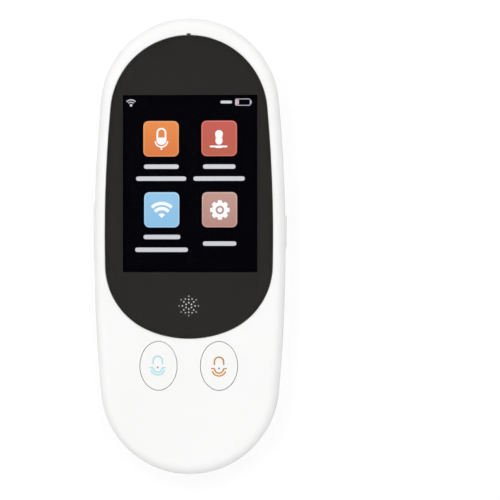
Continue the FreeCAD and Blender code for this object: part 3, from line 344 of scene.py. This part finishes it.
# %% Circuit board
board_green, place = empty_material("fr4_green_lacquer")
routes = add(board_green, "TexBrick", {"offset": 0.37, "squash": 1.6, "squash_frequency": 3}, {
    "Vector": place, "Scale": per_mm(1.1), "Brick Width": 2.6, "Row Height": 1.0, "Mortar Size": 0.12,
    "Color1": linear("#14522E"), "Color2": linear("#175A33"), "Mortar": linear("#2F8A50")})
relief = add(board_green, "Bump", inputs={"Height": routes.outputs["Fac"], "Strength": 0.4, "Distance": 0.00003})
skin = add(board_green, "BsdfPrincipled", inputs={
    "Base Color": routes.outputs["Color"], "Roughness": 0.32, "IOR": 1.55, "Normal": relief.outputs["Normal"]})
add(board_green, "OutputMaterial", inputs={"Surface": skin.outputs["BSDF"]})
print("made", board_green.name)

# %% Battery leads
lead_cover, place = empty_material("pvc_lead_red")
streak = add(lead_cover, "TexNoise", inputs={"Vector": place, "Scale": per_mm(1.5), "Detail": 2.0})
tint = add(lead_cover, "Mix", {"data_type": "RGBA"},
           {0: streak.outputs[0], 6: linear("#B01C1A"), 7: linear("#C92A26")})
skin = add(lead_cover, "BsdfPrincipled", inputs={"Base Color": tint.outputs[2], "Roughness": 0.42, "IOR": 1.53})
add(lead_cover, "OutputMaterial", inputs={"Surface": skin.outputs["BSDF"]})
print("made", lead_cover.name)

# %% [markdown]
# ## Each CAD node gets its finish
#
# A node keeps its mesh, and only its material slot changes. The table below
# is the whole bill of materials, and the loop stops if a node was forgotten.

# %% Assign the finishes
finishes = {
    shell_plastic: ["front_shell", "back_shell"],
    key_plastic: ["left_talk_button", "right_talk_button", "power_key", "volume_rocker"],
    lens_acrylic: ["cover_lens"],
    mask_ink: ["mask_film"],
    tape_black: ["lens_tape", "microphone_boot"],
    mesh_cloth: ["acoustic_mesh"],
    foam_grey: ["speaker_gasket", "display_gasket", "battery_pad"],
    screen_glass: ["display_cell"],
    frame_white: ["backlight_frame"],
    amber_film: ["display_flex", "antenna_flex"],
    board_green: ["main_board"],
    plated_steel: ["shield_can", "usb_shell", "microphone", "shell_screws"],
    foil_wrap: ["battery_cell"],
    lead_cover: ["battery_leads"],
    parts_white: ["left_plunger", "right_plunger", "power_plunger", "volume_plungers",
                  "battery_socket", "battery_plug"],
    parts_black: ["speaker", "left_talk_switch", "right_talk_switch", "power_switch", "volume_switches",
                  "processor_chip", "memory_chip", "usb_tongue"],
}
waiting = set(nodes)
for finish, names in finishes.items():
    for name in names:
        nodes[name].data.materials.clear()
        nodes[name].data.materials.append(finish)
        waiting.discard(name)
if waiting:
    raise ValueError(f"these nodes have no finish yet: {sorted(waiting)}")
print("finishes:", len(finishes))

# %% [markdown]
# ## Drawing flat shapes with bmesh
#
# The signs on the screen and on the buttons are thin flat shapes. They could
# be curves turned into meshes, but with bmesh a stroke along an arc is one
# short edge spun about the arc's centre, and its round ends are half an edge
# spun about its own middle. A pad is a one-face grid whose corners are
# bevelled. A drawing is made in its own small units, then gets a thickness
# and is scaled and put in its place in one last step.

# %% Helpers for flat shapes
def pad(drawing, x, y, width, height, corner):
    """A rectangle with round corners, its middle at (x, y)."""
    corners = bmesh.ops.create_grid(drawing, x_segments=1, y_segments=1, size=0.5)["verts"]
    bmesh.ops.scale(drawing, vec=(width, height, 1.0), verts=corners)
    bmesh.ops.translate(drawing, vec=(x, y, 0.0), verts=corners)
    bmesh.ops.bevel(drawing, geom=corners, affect="VERTICES", offset=min(corner, 0.498 * min(width, height)),
                    segments=6, profile=0.5, material=-1)


def disc(drawing, x, y, radius, sides=24):
    """A filled circle."""
    rim = bmesh.ops.create_circle(drawing, cap_ends=True, segments=sides, radius=radius)["verts"]
    bmesh.ops.translate(drawing, vec=(x, y, 0.0), verts=rim)


def swept(drawing, points, centre, turn, steps):
    """Spins the line through the points about a centre, by a turn in degrees, which leaves a band of faces."""
    line = [drawing.verts.new((x, y, 0.0)) for x, y in points]
    edges = [drawing.edges.new(pair) for pair in zip(line, line[1:])]
    bmesh.ops.spin(drawing, geom=line + edges, cent=(*centre, 0.0), axis=(0.0, 0.0, 1.0), dvec=(0.0, 0.0, 0.0),
                   angle=radians(turn), steps=steps, use_merge=False)


def stroke(drawing, x, y, radius, width, start, turn, round_ends=True):
    """A line of a width along an arc about (x, y), from a starting angle through a turn, in degrees."""
    def at(angle, reach):
        return x + reach * cos(radians(angle)), y + reach * sin(radians(angle))
    inner, outer = radius - width / 2, radius + width / 2
    swept(drawing, [at(start, inner), at(start, radius), at(start, outer)], (x, y), turn, ceil(abs(turn) / 8))
    for angle, half in ((start, -180), (start + turn, 180)) if round_ends else ():
        swept(drawing, [at(angle, radius), at(angle, outer)], at(angle, radius), half, 8)


def placed(drawing, name, material, body, at, unit, low, thickness):
    """Gives a drawing its thickness and its place in metres, and makes it a piece that rides on a body.
    at is the drawing's origin and low its underside, both in metres; unit is one drawing unit in metres."""
    bmesh.ops.remove_doubles(drawing, verts=drawing.verts[:], dist=0.0005)
    grown = bmesh.ops.extrude_face_region(drawing, geom=drawing.faces[:])["geom"]
    bmesh.ops.translate(drawing, vec=(0.0, 0.0, thickness / unit),
                        verts=[part for part in grown if isinstance(part, bmesh.types.BMVert)])
    bmesh.ops.recalc_face_normals(drawing, faces=drawing.faces[:])
    bmesh.ops.scale(drawing, vec=(unit, unit, unit), verts=drawing.verts[:])
    bmesh.ops.translate(drawing, vec=(at[0], at[1], low), verts=drawing.verts[:])
    loose = sum(1 for edge in drawing.edges if len(edge.link_faces) != 2)
    mesh = bpy.data.meshes.new(name)
    drawing.to_mesh(mesh)
    drawing.free()
    piece = bpy.data.objects.new(name, mesh)
    bpy.context.scene.collection.objects.link(piece)
    mesh.materials.append(material)
    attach(piece, body)
    print(f"made {name}: {len(mesh.polygons)} faces, {loose} open edges")
    return piece


# %% [markdown]
# ## What the screen shows
#
# The picture on the screen is light, so its colours are emission: a lit dot
# looks the same in bright and dim rooms. Each tile is a pad with a paler rim
# and a face whose colour runs a little darker downwards, as drawn icons do.
# Places and lengths are in the photograph's pixels, measured from the middle
# of the screen, and one pixel is 0.274 mm there. Every drawing is a layer
# 0.02 mm thick, and lies on the panel or on another one.

# %% Lit materials
PIXEL = 0.000274
LAYER = 0.00002
screen_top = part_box("display_cell")[1].z
window_low, window_high = Vector((-0.01815, -0.0071, 0.0)), Vector((0.01875, 0.0414, 0.0))
screen_middle = (window_low + window_high) / 2
print("screen middle in mm:", [round(v * 1000, 3) for v in screen_middle])


def lit(name, upper, lower, high, low):
    """Light of one colour at a height on the screen and another lower down, with the dark lines between dots."""
    material, where = empty_material(name)
    height = add(material, "SeparateXYZ", inputs={"Vector": where}).outputs["Y"]
    fall = add(material, "MapRange", inputs={"Value": height, "From Min": low, "From Max": high})
    shade = add(material, "Mix", {"data_type": "RGBA"},
                {0: fall.outputs["Result"], 6: linear(lower), 7: linear(upper)})
    lines = add(material, "TexBrick", {"offset": 0.0, "squash": 1.0}, {
        "Vector": where, "Scale": per_mm(DOT_PITCH), "Brick Width": 1.0, "Row Height": 1.0, "Mortar Size": 0.06,
        "Color1": (1.0, 1.0, 1.0, 1.0), "Color2": (0.99, 0.99, 0.99, 1.0), "Mortar": (0.86, 0.86, 0.86, 1.0)})
    glow = add(material, "Mix", {"data_type": "RGBA", "blend_type": "MULTIPLY"},
               {0: 1.0, 6: shade.outputs[2], 7: lines.outputs["Color"]})
    shine = add(material, "BsdfPrincipled", inputs={
        "Base Color": linear("#050505"), "Roughness": 0.2, "Emission Color": glow.outputs[2],
        "Emission Strength": 1.1})
    add(material, "OutputMaterial", inputs={"Surface": shine.outputs["BSDF"]})
    return material


lit_white = lit("screen_light_white", "#FFFFFF", "#FAFBFF", 0.04, -0.007)
lit_label = lit("screen_light_label", "#D6D7DC", "#CFD0D6", 0.04, -0.007)
lit_outline = lit("screen_light_outline", "#B9BACC", "#B4B5C8", 0.04, 0.03)
lit_pink = lit("screen_light_pink", "#D9B4BC", "#D2AAB4", 0.04, 0.03)


# %% Helpers for the picture
MIDDLE_COLUMN, MIDDLE_ROW = 190.4, 183.5


def from_middle(column, row):
    """A place on the photograph as an offset from the middle of the screen, in its pixels, up being positive."""
    return column - MIDDLE_COLUMN, MIDDLE_ROW - row


def on_screen(drawing, name, material, layer):
    """Puts a drawing on the panel, each layer on top of the last."""
    return placed(drawing, name, material, "device", screen_middle, PIXEL,
                  screen_top + layer * LAYER, LAYER)


def tile(name, column, row, size, rim, face_top, face_bottom):
    """A rounded tile: a paler pad, and a slightly smaller one on it. Returns the middle of it as an offset."""
    x, y = from_middle(column, row)
    top, bottom = screen_middle.y + (y + size / 2) * PIXEL, screen_middle.y + (y - size / 2) * PIXEL
    drawing = bmesh.new()
    pad(drawing, x, y, size, size, 5.2)
    on_screen(drawing, name + "_rim", lit(name + "_rim_light", rim[0], rim[1], top, bottom), 0)
    drawing = bmesh.new()
    pad(drawing, x, y - 0.1, size - 2.2, size - 2.2, 4.2)
    on_screen(drawing, name + "_face", lit(name + "_face_light", face_top, face_bottom, top, bottom), 1)
    return x, y


# %% The four tiles
speech_x, speech_y = tile("orange_tile", 161.0, 138.5, 35.5, ("#F2A86E", "#E89A60"), "#EC9152", "#DE7C46")
record_x, record_y = tile("red_tile", 219.3, 138.2, 35.5, ("#E07E74", "#D8776A"), "#C9605A", "#BE6450")
radio_x, radio_y = tile("blue_tile", 161.7, 209.6, 35.2, ("#B5DBF6", "#A9D3F2"), "#97C9EC", "#8EC3E6")
gear_x, gear_y = tile("rose_tile", 219.7, 209.5, 35.2, ("#D5B1A9", "#CBA099"), "#C39A90", "#B88B82")

# %% [markdown]
# ### The signs on the tiles
#
# Each sign is built from the strokes, pads and discs above. The microphone's
# capsule is an arch on two uprights over a half disc, so that its upper half
# stays open. A sign stands a fraction of a pixel off its tile's middle where
# the photograph shows that.

# %% Microphone sign
speech_x += 0.4
drawing = bmesh.new()
stroke(drawing, speech_x, speech_y + 6.0, 4.1, 1.7, 0, 180, round_ends=False)
for side in (-1, 1):
    pad(drawing, speech_x + side * 4.1, speech_y + 3.6, 1.7, 4.9, 0.1)
pad(drawing, speech_x, speech_y + 0.6, 9.9, 1.2, 0.1)
stroke(drawing, speech_x, speech_y - 1.2, 2.48, 4.96, 180, 180, round_ends=False)
pad(drawing, speech_x, speech_y - 0.55, 9.9, 1.3, 0.1)
stroke(drawing, speech_x, speech_y - 1.9, 6.3, 1.4, 190, 160)
pad(drawing, speech_x, speech_y - 9.7, 1.6, 3.4, 0.75)
on_screen(drawing, "microphone_sign", lit_white, 2)

# %% Desk microphone sign
drawing = bmesh.new()
disc(drawing, record_x - 0.2, record_y + 4.4, 3.9)
disc(drawing, record_x - 0.2, record_y - 2.6, 3.6)
pad(drawing, record_x - 0.2, record_y + 0.9, 4.4, 4.0, 0.5)
for rise in (-0.4, 0.9, 2.2):
    pad(drawing, record_x - 0.2, record_y + rise, 7.2, 0.7, 0.3)
pad(drawing, record_x - 0.6, record_y - 8.1, 17.8, 1.8, 0.9)
pad(drawing, record_x - 0.5, record_y - 8.5, 7.0, 2.3, 1.1)
on_screen(drawing, "desk_microphone_sign", lit_white, 2)

# %% Wireless sign
drawing = bmesh.new()
for reach, width, start in ((14.1, 3.2, 45), (8.9, 3.4, 40)):
    stroke(drawing, radio_x, radio_y - 7.6, reach, width, start, 180 - 2 * start, round_ends=False)
stroke(drawing, radio_x, radio_y - 8.2, 2.4, 4.6, 45, 90, round_ends=False)
on_screen(drawing, "wireless_sign", lit_white, 2)

# %% Gear sign
gear_x, gear_y = gear_x + 0.3, gear_y - 0.3
drawing = bmesh.new()
stroke(drawing, gear_x, gear_y, 6.0, 3.6, 0, 360, round_ends=False)
TEETH = 8
for tooth in range(TEETH):
    before = set(drawing.verts)
    pad(drawing, 8.2, 0.0, 3.2, 4.4, 1.1)
    fresh = [vert for vert in drawing.verts if vert not in before]
    bmesh.ops.rotate(drawing, verts=fresh, cent=(0.0, 0.0, 0.0),
                     matrix=Matrix.Rotation(radians(360 / TEETH * tooth), 3, "Z"))
    bmesh.ops.translate(drawing, verts=fresh, vec=(gear_x, gear_y, 0.0))
disc(drawing, gear_x, gear_y, 2.4)
on_screen(drawing, "gear_sign", lit_white, 2)

# %% [markdown]
# ### The status line and the bars under the tiles
#
# Two arcs and a dot show the wireless link at the left, and a battery
# outline with a small charge stands at the right.

# %% Status line
link_x, link_y = from_middle(130.9, 105.0)
drawing = bmesh.new()
stroke(drawing, link_x, link_y, 5.6, 1.0, 43, 94)
stroke(drawing, link_x, link_y, 3.3, 0.8, 43, 94)
disc(drawing, link_x, link_y + 0.1, 1.3)
on_screen(drawing, "link_sign", lit_label, 0)

cell_x, cell_y = from_middle(243.0, 102.0)
drawing = bmesh.new()
pad(drawing, cell_x, cell_y, 15.5, 7.1, 1.6)
bmesh.ops.inset_individual(drawing, faces=drawing.faces[:], thickness=0.75)
middle = max(drawing.faces, key=lambda face: len(face.verts))
bmesh.ops.delete(drawing, geom=[middle], context="FACES")
pad(drawing, cell_x + 8.2, cell_y, 1.2, 3.4, 0.4)
on_screen(drawing, "charge_outline", lit_outline, 0)
drawing = bmesh.new()
pad(drawing, cell_x - 5.5, cell_y, 3.0, 4.9, 0.4)
on_screen(drawing, "charge_level", lit_pink, 0)
drawing = bmesh.new()
pad(drawing, *from_middle(226.4, 101.9), 11.6, 2.8, 1.4)
on_screen(drawing, "charge_bar", lit_label, 0)

# %% Label bars
bars = [("upper_left", 161.3, 166.4, 35.0), ("upper_left_second", 161.1, 178.4, 50.4),
        ("upper_right", 219.4, 166.4, 32.6), ("upper_right_second", 219.2, 178.4, 51.4),
        ("lower_left", 161.9, 236.8, 37.0), ("lower_left_second", 161.5, 249.6, 53.0),
        ("lower_right", 219.7, 243.4, 33.6)]
for name, column, row, length in bars:
    drawing = bmesh.new()
    pad(drawing, *from_middle(column, row), length, 4.4, 2.2)
    on_screen(drawing, "label_bar_" + name, lit_label, 0)

# %% [markdown]
# ## The prints on the talk buttons
#
# Both buttons carry the same pad-printed microphone sign: an arch over a
# small dot, a cup under it and an outer bow, in a pale cyan on the left and
# an ochre on the right, with a pale wash between the cup and the bow. Pad
# printing lays a few hundredths of a millimetre of ink on the cap, so the
# sign is a real layer that moves with its button. The ink is a satin enamel
# with a slightly uneven colour.

# %% Ink
def ink(name, dark, light):
    """Pad-printing ink: two close tones in patches of a millimetre, satin."""
    material, where = empty_material(name)
    patch = add(material, "TexNoise", inputs={"Vector": where, "Scale": per_mm(0.9), "Detail": 2.0})
    tone = add(material, "Mix", {"data_type": "RGBA"}, {0: patch.outputs[0], 6: linear(dark), 7: linear(light)})
    satin = add(material, "MapRange", inputs={"Value": patch.outputs[0], "To Min": 0.32, "To Max": 0.44})
    coat = add(material, "BsdfPrincipled", inputs={"Base Color": tone.outputs[2], "Roughness": satin.outputs["Result"]})
    add(material, "OutputMaterial", inputs={"Surface": coat.outputs["BSDF"]})
    return material


cyan_ink, cyan_fill = ink("ink_pale_cyan", "#AEDAE1", "#B9E1E7"), ink("ink_cyan_wash", "#D6F4F8", "#DCF8FB")
ochre_ink, ochre_fill = ink("ink_ochre", "#BE8640", "#C8914C"), ink("ink_ochre_wash", "#FDEDD4", "#FFF2DE")
grey_ink = ink("ink_mid_grey", "#8E8E90", "#9A9A9C")
print("inks:", cyan_ink.name, ochre_ink.name, grey_ink.name)


# %% The signs on the caps
MM = 0.001
INK, WASH, SUNK = 0.000025, 0.000015, 0.000005  # how thick the lines and the wash are, and how deep both are sunk


def button_sign(name, node, body, shift, line, wash):
    """The sign, its pale filling and its dot, on the cap of a button. Lengths in the drawing are millimetres."""
    low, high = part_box(node)
    middle = (low + high) / 2
    at = (middle.x + shift[0] * MM, middle.y + shift[1] * MM)
    top = high.z - SUNK
    drawing = bmesh.new()
    stroke(drawing, 0.0, -0.11, 1.58, 0.55, 190, 160, round_ends=False)
    placed(drawing, name + "_wash", wash, body, at, MM, top, WASH)
    drawing = bmesh.new()
    stroke(drawing, 0.0, 1.80, 1.27, 0.4, 0, 180, round_ends=False)
    for side in (-1, 1):
        pad(drawing, side * 1.27, 1.36, 0.4, 0.92, 0.15)
        pad(drawing, side * 1.68, -0.06, 0.98, 0.36, 0.17)
    stroke(drawing, 0.0, -0.1, 1.2, 0.38, 180, 180, round_ends=False)
    stroke(drawing, 0.0, -0.12, 1.95, 0.36, 204, 132)
    placed(drawing, name + "_lines", line, body, at, MM, top, INK)
    drawing = bmesh.new()
    disc(drawing, 0.0, 0.0, 0.26)
    placed(drawing, name + "_dot", grey_ink, body, at, MM, top, INK)


button_sign("left_sign", "left_talk_button", "left_button", (-0.19, -0.44), cyan_ink, cyan_fill)
button_sign("right_sign", "right_talk_button", "right_button", (-0.01, -0.68), ochre_ink, ochre_fill)

# %% [markdown]
# ## Floor, sky and lamp
#
# A product on a white sweep: the floor is white paper, wide enough to fill
# every view. Most of what the camera sees of it is even white, so the shadow
# stays but is soft. The sky is a pale dome, brighter high up and weaker on
# the side of the button end, so that the rounded rim falls off a little, most
# at that end. It is dark straight overhead, as the black card is that a
# photographer hangs above glass, so that the flat lens mirrors nothing. What
# the camera sees of it is plain white. One large soft lamp stands at the
# upper left. The paper lies a tenth of a millimetre below the part and is a
# glass table for who looks from underneath: its underside is clear, and it
# lets light through where the part touches it.

# %% Floor
FLOOR_RADIUS, FLOOR_DROP = 6.0, 0.0001
TOUCH = 0.004  # rays shorter than this, in metres, pass the paper
paper = bpy.data.materials.new("paper_white")
paper.use_nodes = True
paper.node_tree.nodes.clear()
fibres = add(paper, "TexNoise", inputs={"Vector": add(paper, "TexCoord").outputs["Object"], "Scale": per_mm(3)})
sheet_tone = add(paper, "Mix", {"data_type": "RGBA"},
                 {0: fibres.outputs[0], 6: linear("#F9F9F9"), 7: linear("#FFFFFF")})
matt = add(paper, "BsdfDiffuse", inputs={"Color": sheet_tone.outputs[2]})
dimmer = add(paper, "BsdfDiffuse", inputs={"Color": linear("#DCDCDC")})
even = add(paper, "Emission", inputs={"Color": linear("#FFFFFF"), "Strength": 1.04})
half = add(paper, "MixShader", inputs={0: 0.65, 1: matt.outputs[0], 2: even.outputs[0]})
seen = add(paper, "LightPath").outputs["Is Camera Ray"]
both = add(paper, "MixShader", inputs={0: seen, 1: dimmer.outputs[0], 2: half.outputs[0]})
flown = add(paper, "LightPath").outputs["Ray Length"]
touching = add(paper, "Math", {"operation": "LESS_THAN"}, {0: flown, 1: TOUCH})
under = add(paper, "NewGeometry").outputs["Backfacing"]
gone = add(paper, "Math", {"operation": "MAXIMUM"}, {0: touching.outputs[0], 1: under})
hole = add(paper, "BsdfTransparent")
whole = add(paper, "MixShader", inputs={0: gone.outputs[0], 1: both.outputs[0], 2: hole.outputs[0]})
add(paper, "OutputMaterial", inputs={"Surface": whole.outputs[0]})

surface = bmesh.new()
bmesh.ops.create_circle(surface, cap_ends=True, segments=64, radius=FLOOR_RADIUS,
                        matrix=Matrix.Translation((0.0, 0.0, -FLOOR_DROP)))
floor_mesh = bpy.data.meshes.new("floor")
surface.to_mesh(floor_mesh)
surface.free()
floor = bpy.data.objects.new("floor", floor_mesh)
bpy.context.scene.collection.objects.link(floor)
floor_mesh.materials.append(paper)
print("floor radius in m:", FLOOR_RADIUS)

# %% Sky
sky = bpy.data.worlds.new("pale_dome")
bpy.context.scene.world = sky
sky.use_nodes = True
sky.node_tree.nodes.clear()
towards = add(sky, "SeparateXYZ", inputs={"Vector": add(sky, "TexCoord").outputs["Generated"]})


def dome(stops):
    """Brightness by height, from the horizon at 0 to straight up at 1, and the same downwards."""
    height = add(sky, "Math", {"operation": "ABSOLUTE"}, {0: towards.outputs["Z"]})
    ramp = add(sky, "ValToRGB", inputs={"Fac": height.outputs[0]})
    while len(ramp.color_ramp.elements) < len(stops):
        ramp.color_ramp.elements.new(0.5)
    for element, (height, strength) in zip(ramp.color_ramp.elements, stops):
        element.position = height
        element.color = (strength, strength, strength, 1.0)
    return ramp.outputs["Color"]


lighting = dome([(0.0, 0.27), (0.2, 0.26), (0.5, 0.31), (0.65, 0.45), (0.80, 0.75), (0.88, 1.0),
                 (0.93, 0.80), (0.955, 0.003), (1.0, 0.003)])
southern = add(sky, "MapRange", inputs={"Value": towards.outputs["Y"], "From Min": -1.0, "From Max": 0.2,
                                        "To Min": 1.53, "To Max": 2.28})
lights = add(sky, "Background", inputs={"Color": lighting, "Strength": southern.outputs["Result"]})
mirrored = dome([(0.0, 1.0), (0.06, 1.0), (0.25, 0.72), (0.70, 0.72), (0.94, 0.004), (1.0, 0.004)])
mirrors = add(sky, "Background", inputs={"Color": mirrored, "Strength": 1.0})
plain_white = add(sky, "Background", inputs={"Color": linear("#FFFFFF"), "Strength": 1.0})
rays = add(sky, "LightPath")
shiny = add(sky, "Math", {"operation": "MAXIMUM"},
            {0: rays.outputs["Is Glossy Ray"], 1: rays.outputs["Is Transmission Ray"]})
either = add(sky, "MixShader", inputs={0: shiny.outputs[0], 1: lights.outputs[0], 2: mirrors.outputs[0]})
any_ray = add(sky, "MixShader", inputs={
    0: rays.outputs["Is Camera Ray"], 1: either.outputs[0], 2: plain_white.outputs[0]})
add(sky, "OutputWorld", inputs={"Surface": any_ray.outputs[0]})
print("sky made:", sky.name)

# %% Lamp
softbox = bpy.data.lights.new("softbox", "AREA")
softbox.shape = "SQUARE"
softbox.size = 0.7
softbox.energy = 1.2
lamp = bpy.data.objects.new("softbox", softbox)
bpy.context.scene.collection.objects.link(lamp)
lamp.location = (-0.55, 0.70, 1.05)
lamp.rotation_euler = (-lamp.location).to_track_quat("-Z", "Y").to_euler()
print("lamp distance in m:", round(lamp.location.length, 2))

# %% [markdown]
# ## Camera
#
# The photograph looks almost straight down on the face from a little to the
# right, and far away, as the nearly parallel sides tell. A 200 mm lens at
# three quarters of a metre gives its size in the frame. The picture is
# square, 500 by 500, and nothing is shifted.

# %% Camera
lean = radians(3.0)
target = Vector((0.01654, -0.00102, 0.008))
distance = 0.763
seen_from = Vector((sin(lean), 0.0, cos(lean)))
camera_data = bpy.data.cameras.new("camera")
camera_data.lens = 200.0
camera_data.sensor_width = 36.0
camera_data.clip_end = 50.0
camera = bpy.data.objects.new("camera", camera_data)
bpy.context.scene.collection.objects.link(camera)
camera.location = target + seen_from * distance
camera.rotation_euler = (0.0, lean, 0.0)
bpy.context.scene.camera = camera
bpy.context.scene.view_settings.view_transform = "Standard"
print("camera at", [round(v, 4) for v in camera.location])
